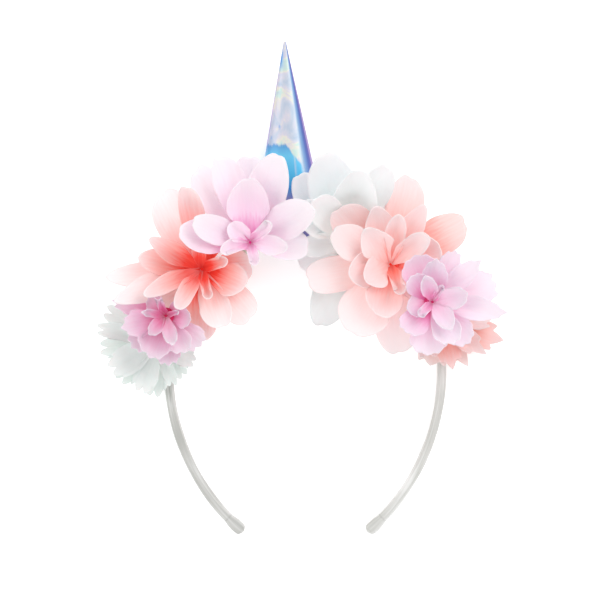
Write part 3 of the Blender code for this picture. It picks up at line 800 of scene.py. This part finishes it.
def clothDisc(heart, axis):
    # rings of radius r round the heart, in the disc's plane; the smallest one is capped
    right, upward = discPlane(axis)
    rings = np.linspace(0.12, 1.0, cloth["discRings"])
    turns = np.linspace(0.0, 2 * math.pi, cloth["discSides"], endpoint=False)
    r, a = np.meshgrid(rings, turns, indexing="ij")
    x, y = cloth["heartDisc"] * r * np.cos(a), cloth["heartDisc"] * r * np.sin(a)
    points = heart + right * x[..., None] + upward * y[..., None]
    return points, np.stack([x, y], -1), cloth["heartDye"] * r


def flatCut(heart, axis, petals, spines):
    # the layer laid flat, each petal turned to its own bearing round the heart: the sides of the
    # smallest rectangle it is cut from, turned any way, and the area of the petals and the disc
    right, upward = discPlane(axis)
    disc = cloth["heartDisc"]
    corners, area = [np.array([[-disc, -disc], [disc, disc]])], math.pi * disc ** 2
    for (_, uv, _), spine in zip(petals, spines):
        out = spine[0] - heart
        rim = np.linalg.norm(out)
        along = np.array([out @ right, out @ upward]) / rim
        across = np.array([along[1], -along[0]])
        corners.append((uv[..., :1] * across + (rim + uv[..., 1:]) * along).reshape(-1, 2))
        a, b = uv[1:, 1:] - uv[:-1, :-1], uv[1:, :-1] - uv[:-1, 1:]
        area += np.abs(a[..., 0] * b[..., 1] - a[..., 1] * b[..., 0]).sum() / 2
        area -= cut["root"] * max(disc - rim, 0.0)  # the root lies on the disc and is counted once
    corners = np.concatenate(corners)
    t = np.radians(np.arange(0.0, 90.0, 2.0))
    wide = np.ptp(corners @ np.stack([np.cos(t), np.sin(t)]), axis=0)
    long = np.ptp(corners @ np.stack([-np.sin(t), np.cos(t)]), axis=0)
    least = np.argmin(wide * long)
    return (float(wide[least]), float(long[least])), float(area)


def clothMaterial(flower):
    # polyester cloth, woven, dyed and die cut: matt, with a little sheen, and light passes
    # through it. The dye is deep at the heart and fades to the tip along the petal's length
    made, shader = newMaterial(
        flower["name"] + "DyedCloth", Roughness=0.82, IOR=1.45, Specular_IOR_Level=0.25,
        Sheen_Weight=0.25, Sheen_Roughness=0.5, Subsurface_Weight=0.5, Subsurface_Scale=1.8 * mm,
        Subsurface_Radius=(1.0, 0.75, 0.75),
    )
    along = addNode(made, "ShaderNodeAttribute", {"attribute_name": "heartToTip"})
    tone = addNode(made, "ShaderNodeAttribute", {"attribute_name": "petalTone"})
    place = addNode(made, "ShaderNodeTexCoord")
    # dye streaks run with the cloth's warp, about 1 mm apart
    stretch = addNode(
        made, "ShaderNodeMapping", Vector=place.outputs["UV"],
        Scale=(1 / dyes["streakBreadth"], 1 / dyes["streakLength"], 1.0),
    )
    streak = addNode(made, "ShaderNodeTexNoise", Vector=stretch.outputs[0], Scale=1.0, Detail=2.0)
    shifted = addNode(
        made, "ShaderNodeMath", {"operation": "MULTIPLY_ADD"},
        _0=streak.outputs[0], _1=dyes["streaks"], _2=along.outputs["Fac"],
    )
    centred = addNode(
        made, "ShaderNodeMath", {"operation": "SUBTRACT"}, _0=shifted.outputs[0], _1=dyes["streaks"] / 2,
    )
    dye = addNode(made, "ShaderNodeValToRGB", stops=flower["stops"], Fac=centred.outputs[0])
    whiter = addNode(
        made, "ShaderNodeMath", {"operation": "MULTIPLY"}, _0=tone.outputs["Fac"], _1=dyes["whitest"],
    )
    pale = addNode(
        made, "ShaderNodeMix", {"data_type": "RGBA"},
        _0=whiter.outputs[0], _6=dye.outputs[0], _7=linear("#FFFFFF"),
    )
    # painted shade: a petal marked for it has its colour darkened by its own value
    shade = addNode(made, "ShaderNodeAttribute", {"attribute_name": "paintedPetalShade"})
    dyed = addNode(made, "ShaderNodeHueSaturation", Value=shade.outputs["Fac"], Color=pale.outputs[2])
    link(made, dyed.outputs[0], shader.inputs["Base Color"])
    # painted light: emission in the petal's own colour stands in for the light that comes through
    # the stacked cloth, lightening the crevices round the heart; it fades along the petal
    link(made, dyed.outputs[0], shader.inputs["Emission Color"])
    paintedGlow = addNode(
        made, "ShaderNodeMath", {"operation": "MULTIPLY_ADD", "use_clamp": True},
        _0=along.outputs["Fac"], _1=-dyes["paintedGlow"], _2=dyes["paintedGlow"],
    )
    link(made, paintedGlow.outputs[0], shader.inputs["Emission Strength"])
    # plain weave, drawn at 0.7 mm where the real thread spacing is about 0.25 mm, to show at all
    weave = addNode(
        made, "ShaderNodeMapping", Vector=place.outputs["UV"],
        Scale=(1 / dyes["weave"], 1 / dyes["weave"], 1.0),
    )
    warp = addNode(made, "ShaderNodeTexWave", {"bands_direction": "X"}, Vector=weave.outputs[0], Scale=0.5)
    weft = addNode(made, "ShaderNodeTexWave", {"bands_direction": "Y"}, Vector=weave.outputs[0], Scale=0.5)
    cross = addNode(
        made, "ShaderNodeMath", {"operation": "MULTIPLY"},
        _0=warp.outputs["Fac"], _1=weft.outputs["Fac"],
    )
    fine = addNode(made, "ShaderNodeBump", Strength=0.25, Distance=0.05 * mm, Height=cross.outputs[0])
    crease = addNode(
        made, "ShaderNodeBump", Strength=0.5, Distance=0.18 * mm,
        Height=streak.outputs[0], Normal=fine.outputs[0],
    )
    link(made, crease.outputs[0], shader.inputs["Normal"])
    return made


def petalTone(words):
    # from the full dye, 0, to the palest, 1, a little different on each petal
    tone = 0.1 if "deep" in words else 1.0 if "pale" in words else 0.5
    return tone + random.uniform(-dyes["toneSpread"], dyes["toneSpread"])


bpy.context.view_layer.update()
graph = bpy.context.evaluated_depsgraph_get()
settled, spaces = settledPetals()
solid = [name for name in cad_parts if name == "horn" or name.endswith("_calyx")]
standingCloth = [(name, BVHTree.FromObject(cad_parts[name], graph)) for name in solid]
crossings = 0
for flower in flowers:
    dyedCloth = clothMaterial(flower)
    layers = [layer for name, layer in settled if name == flower["name"]]
    for depth, layer in enumerate(layers):
        heart, axis, petals = settled[flower["name"], layer]
        parts, spines, owner = [], [], flower["name"] + layer
        for (root, bend, tip, across, _), reach, breadth, words in petals:
            # the cloth runs on over the disc, almost to the heart
            spine = (heart + unit(root - heart) * cloth["gathered"], bend, tip, across, axis)
            spaces = spaces[1:]
            made, crossed, tree = clearPetal(
                spine, reach, breadth, words, flower, depth, owner, standingCloth + spaces,
            )
            standingCloth.append((owner, tree))
            parts.append(made)
            spines.append(spine)
            crossings += crossed > 0
        flat, area = flatCut(heart, axis, parts, spines)
        # the petals and, last, the disc are joined into one mesh
        tones = [petalTone(words) for *_, words in petals] + [0.0]
        # painted shade: the share of its colour each petal keeps, 1 where none is painted
        shades = [dyes["grey"] if "grey" in words else 1.0 for *_, words in petals] + [1.0]
        parts.append(clothDisc(heart, axis))
        sizes = [share.size for *_, share in parts]
        firsts = [sum(sizes[:i]) for i in range(len(sizes))]
        quads = [gridFaces(*share.shape, first=first) for (*_, share), first in zip(parts[:-1], firsts)]
        quads.append(gridFaces(*parts[-1][-1].shape, closed=True, first=firsts[-1]))
        piece = meshObject(
            f"{flower['name']}_{layer}_cloth", np.concatenate([grid.reshape(-1, 3) for grid, *_ in parts]),
            np.concatenate(quads), dyedCloth, uv=np.concatenate([uv.reshape(-1, 2) for _, uv, _ in parts]),
            caps=[range(firsts[-1] + cloth["discSides"] - 1, firsts[-1] - 1, -1)],
            attributes={
                "heartToTip": np.concatenate([share.ravel() for *_, share in parts]),
                "petalTone": np.repeat(tones, sizes),
                "paintedPetalShade": np.repeat(shades, sizes),
            },
        )
        thicken(piece, cloth["thick"])
        node = f"{flower['name']}_{layer}_petals"
        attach(piece, "root")
        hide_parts(node)
        print("cut", node, [round(side / mm, 1) for side in flat], round(area / (flat[0] * flat[1]), 2))

print("petals that cross others or their spaces:", crossings)

print("stage: horn")
horn = {
    "height": 98.0 * mm,
    "halfWidth": 19.2 * mm,
    "halfDepth": 9.0 * mm,
    "lap": 0.7 * mm,
    "lapTurn": math.radians(52.0),
    "lapOver": math.radians(16.0),  # how far the film runs on under its own edge
    "blunt": 0.02,
    "lean": math.radians(1.7),
    "offset": -7.4 * mm,
    "overhang": 1.5 * mm,
    "film": 0.4 * mm,
    "back": 0.3 * mm,  # from the plane that the hoop lies on to the film
    "inFront": 1.0 * mm,  # the film is cut away up to this far in front of the hoop
    "clear": 0.6 * mm,  # and down to this far from its outer edge
    "dent": 0.022,
    "rows": 130,
    "columns": 150,
}


def hornSurface():
    # a sheet rolled once and a bit more: an oval whose radius falls by the lap in a full turn,
    # and whose size falls along the axis to the tip. Shallow dents, a sine of the height by a
    # sine of twice the turn, fade to the tip. The rim is cut away where it would meet the hoop
    along, aside = np.linspace(0.0, 1.0, horn["rows"]), np.linspace(0.0, 1.0, horn["columns"])
    v, u = np.meshgrid(along, aside, indexing="ij")
    sweep = 2 * math.pi + horn["lapOver"]
    turn = horn["lapTurn"] + u * sweep
    inwards = horn["lap"] * (1.0 - u * sweep / (2 * math.pi))
    rimX = horn["offset"] + horn["halfWidth"] * np.cos(turn)
    middle = horn["halfDepth"] + horn["lap"] + horn["back"]
    rimZ = middle + horn["halfDepth"] * np.sin(turn)
    outerEdge = np.sqrt((hoop["crownRadius"] + hoop["thickness"] / 2) ** 2 - rimX ** 2) - hoop["crownRadius"]
    behind = rimZ < hoop["depth"] + horn["inFront"]
    start = np.where(behind, outerEdge + horn["clear"], -horn["overhang"])
    start = (start + horn["overhang"]) / horn["height"]
    share = start + (1.0 - start) * v
    size = 1.0 - share * (1.0 - horn["blunt"])
    dent = 1.0 - horn["dent"] * np.sin(9.0 * share + 3.0 * np.cos(turn)) * np.sin(2 * turn) * (1 - share)
    across = (horn["halfWidth"] + inwards - horn["film"] / 2) * size * np.cos(turn) * dent
    deep = (horn["halfDepth"] + inwards - horn["film"] / 2) * size * np.sin(turn) * dent
    along = -horn["overhang"] + share * horn["height"]
    x = horn["offset"] + across * math.cos(horn["lean"]) - along * math.sin(horn["lean"])
    y = across * math.sin(horn["lean"]) + along * math.cos(horn["lean"])
    return np.stack([x, y, middle + deep], -1), np.stack([u, share], -1), turn, share


def spot(turn, share, atTurn, atShare, turnWidth, shareWidth):
    # a soft patch on the film: exp of minus the squared distance from its middle
    away = (np.degrees(turn) - atTurn + 180.0) % 360.0 - 180.0
    return np.exp(-(away / turnWidth) ** 2 - ((share - atShare) / shareWidth) ** 2)


filmMarks = {
    "fold": 62.0,  # degrees from the right edge to the fold down the front
    "foldBlur": 7.0,
    "line": ((52.0, 0.36), (71.0, 0.41), (88.0, 0.47), (100.0, 0.482), (180.0, 0.486)),
    "lineBlur": 0.010,
    # painted highlight: where a pale streak runs down the film, in degrees from the right edge, and its width
    "streak": 74.0,
    "highlightStreakWidth": 1.6,
    "edgeFrom": 158.0,
    "edgeBlur": 12.0,
    # each speck's strength, its turn and share of the height, and its size in both
    "specks": ((0.7, 116, 0.57, 4, 0.010), (0.6, 144, 0.515, 4, 0.008), (1.0, 148, 0.915, 30, 0.048)),
}
points, uv, turn, share = hornSurface()
degrees = np.degrees(turn) % 360.0
fromRight = np.minimum(degrees, 360.0 - degrees)  # 0 at the right edge, 180 at the left
# the side right of the fold runs from pale blue at the fold to violet at the edge
strip = np.clip((filmMarks["fold"] - fromRight) / filmMarks["foldBlur"], 0.0, 1.0)
# the film below a ragged line shows cyan. The line runs level from the left edge to the middle
# and falls from there to the fold; one painted highlight, a pale streak, crosses the cyan
ragged = 0.004 * np.sin(0.21 * degrees) + 0.003 * np.sin(0.53 * degrees + 1.0) + 0.002 * np.sin(1.3 * degrees)
line = np.interp(fromRight, *zip(*filmMarks["line"])) + ragged
low = np.clip((line - share) / filmMarks["lineBlur"], 0.0, 1.0)
# painted highlight: the pale streak lightens the cyan above 30 % of the height
streak = np.exp(-((degrees - filmMarks["streak"]) / filmMarks["highlightStreakWidth"]) ** 2)
low *= 1.0 - 0.6 * streak * np.clip((share - 0.30) / 0.04, 0.0, 1.0)
specks = sum(strength * spot(turn, share, *patch) for strength, *patch in filmMarks["specks"])
outline = np.clip((fromRight - filmMarks["edgeFrom"]) / filmMarks["edgeBlur"], 0.0, 1.0)

# iridescent polyester film, calendered: glossy, a little metallic, pearly from its thin layers
film, filmShader = newMaterial(
    "iridescentFilm", Roughness=0.34, Metallic=0.1, IOR=1.5, Coat_Weight=0.25, Coat_Roughness=0.2,
    Thin_Film_Thickness=360.0, Thin_Film_IOR=1.38,
)
filmPlace = addNode(film, "ShaderNodeTexCoord")
filmScale = addNode(
    film, "ShaderNodeMapping", Vector=filmPlace.outputs["Object"],
    Scale=(1 / (8 * mm), 1 / (13 * mm), 1 / (8 * mm)),
)
pearl = addNode(
    film, "ShaderNodeTexNoise", Vector=filmScale.outputs[0], Scale=1.0, Detail=3.0, Distortion=0.8,
)
pearlTone = addNode(
    film, "ShaderNodeValToRGB", Fac=pearl.outputs[0],
    stops=[
        (0.30, "#B2BED2"), (0.42, "#C4C8D6"), (0.49, "#D2CCD8"), (0.55, "#E0DACE"),
        (0.61, "#C6DAD2"), (0.70, "#BCC8D6"),
    ],
)
zones = {
    name: addNode(film, "ShaderNodeAttribute", {"attribute_name": name}).outputs["Fac"]
    for name in ("stripZone", "foldTurn", "lowZone", "hornShare", "speckZone", "outlineZone")
}
stripTone = addNode(
    film, "ShaderNodeValToRGB", Fac=zones["foldTurn"],
    stops=[
        (0.0, "#8A66A8"), (0.22, "#8A70B4"), (0.29, "#B4A8CC"), (0.37, "#6C64AC"),
        (0.56, "#5E70B4"), (0.74, "#7C9AC8"), (0.90, "#B4C6DA"), (1.0, "#CCD2DC"),
    ],
)
lowTone = addNode(
    film, "ShaderNodeValToRGB", Fac=zones["hornShare"],
    stops=[(0.20, "#8A84C0"), (0.25, "#3C82C4"), (0.32, "#4CACDA"), (0.42, "#6CBEE2"), (0.49, "#5A88C4")],
)
tone = pearlTone.outputs[0]
for zone, colour in (
    ("outlineZone", linear("#9A84C8")), ("speckZone", linear("#4B90D6")),
    ("lowZone", lowTone.outputs[0]), ("stripZone", stripTone.outputs[0]),
):
    tone = addNode(
        film, "ShaderNodeMix", {"data_type": "RGBA"}, _0=zones[zone], _6=tone, _7=colour,
    ).outputs[2]
link(film, tone, filmShader.inputs["Base Color"])
filmBump = addNode(film, "ShaderNodeBump", Strength=0.4, Distance=0.35 * mm, Height=pearl.outputs[0])
link(film, filmBump.outputs[0], filmShader.inputs["Normal"])

hornPiece = meshObject(
    "filmHorn", points, gridFaces(*share.shape), film, uv=uv,
    attributes={
        "stripZone": strip, "foldTurn": np.clip(fromRight / filmMarks["fold"], 0, 1),
        "lowZone": low, "hornShare": share,
        "speckZone": np.clip(specks, 0, 1), "outlineZone": outline,
    },
)
thicken(hornPiece, horn["film"])
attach(hornPiece, "root")
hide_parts("horn")

print("stage: calyxes")
# moulded polyethylene, matt, with a faint grain from the mould
moulded, mouldedShader = newMaterial("mouldedPolyethylene", Roughness=0.5, IOR=1.5)
mouldPlace = addNode(moulded, "ShaderNodeTexCoord")
mouldGrain = addNode(
    moulded, "ShaderNodeTexNoise", Vector=mouldPlace.outputs["Object"],
    Scale=1 / (1.5 * mm), Detail=2.0,
)
mouldTone = addNode(
    moulded, "ShaderNodeValToRGB", stops=[(0.3, "#C3CFBA"), (0.7, "#D2DBCA")], Fac=mouldGrain.outputs[0],
)
link(moulded, mouldTone.outputs[0], mouldedShader.inputs["Base Color"])
for flower in flowers:
    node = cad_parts[flower["name"] + "_calyx"]
    for slot in node.material_slots:
        slot.material = moulded

print("stage: done")
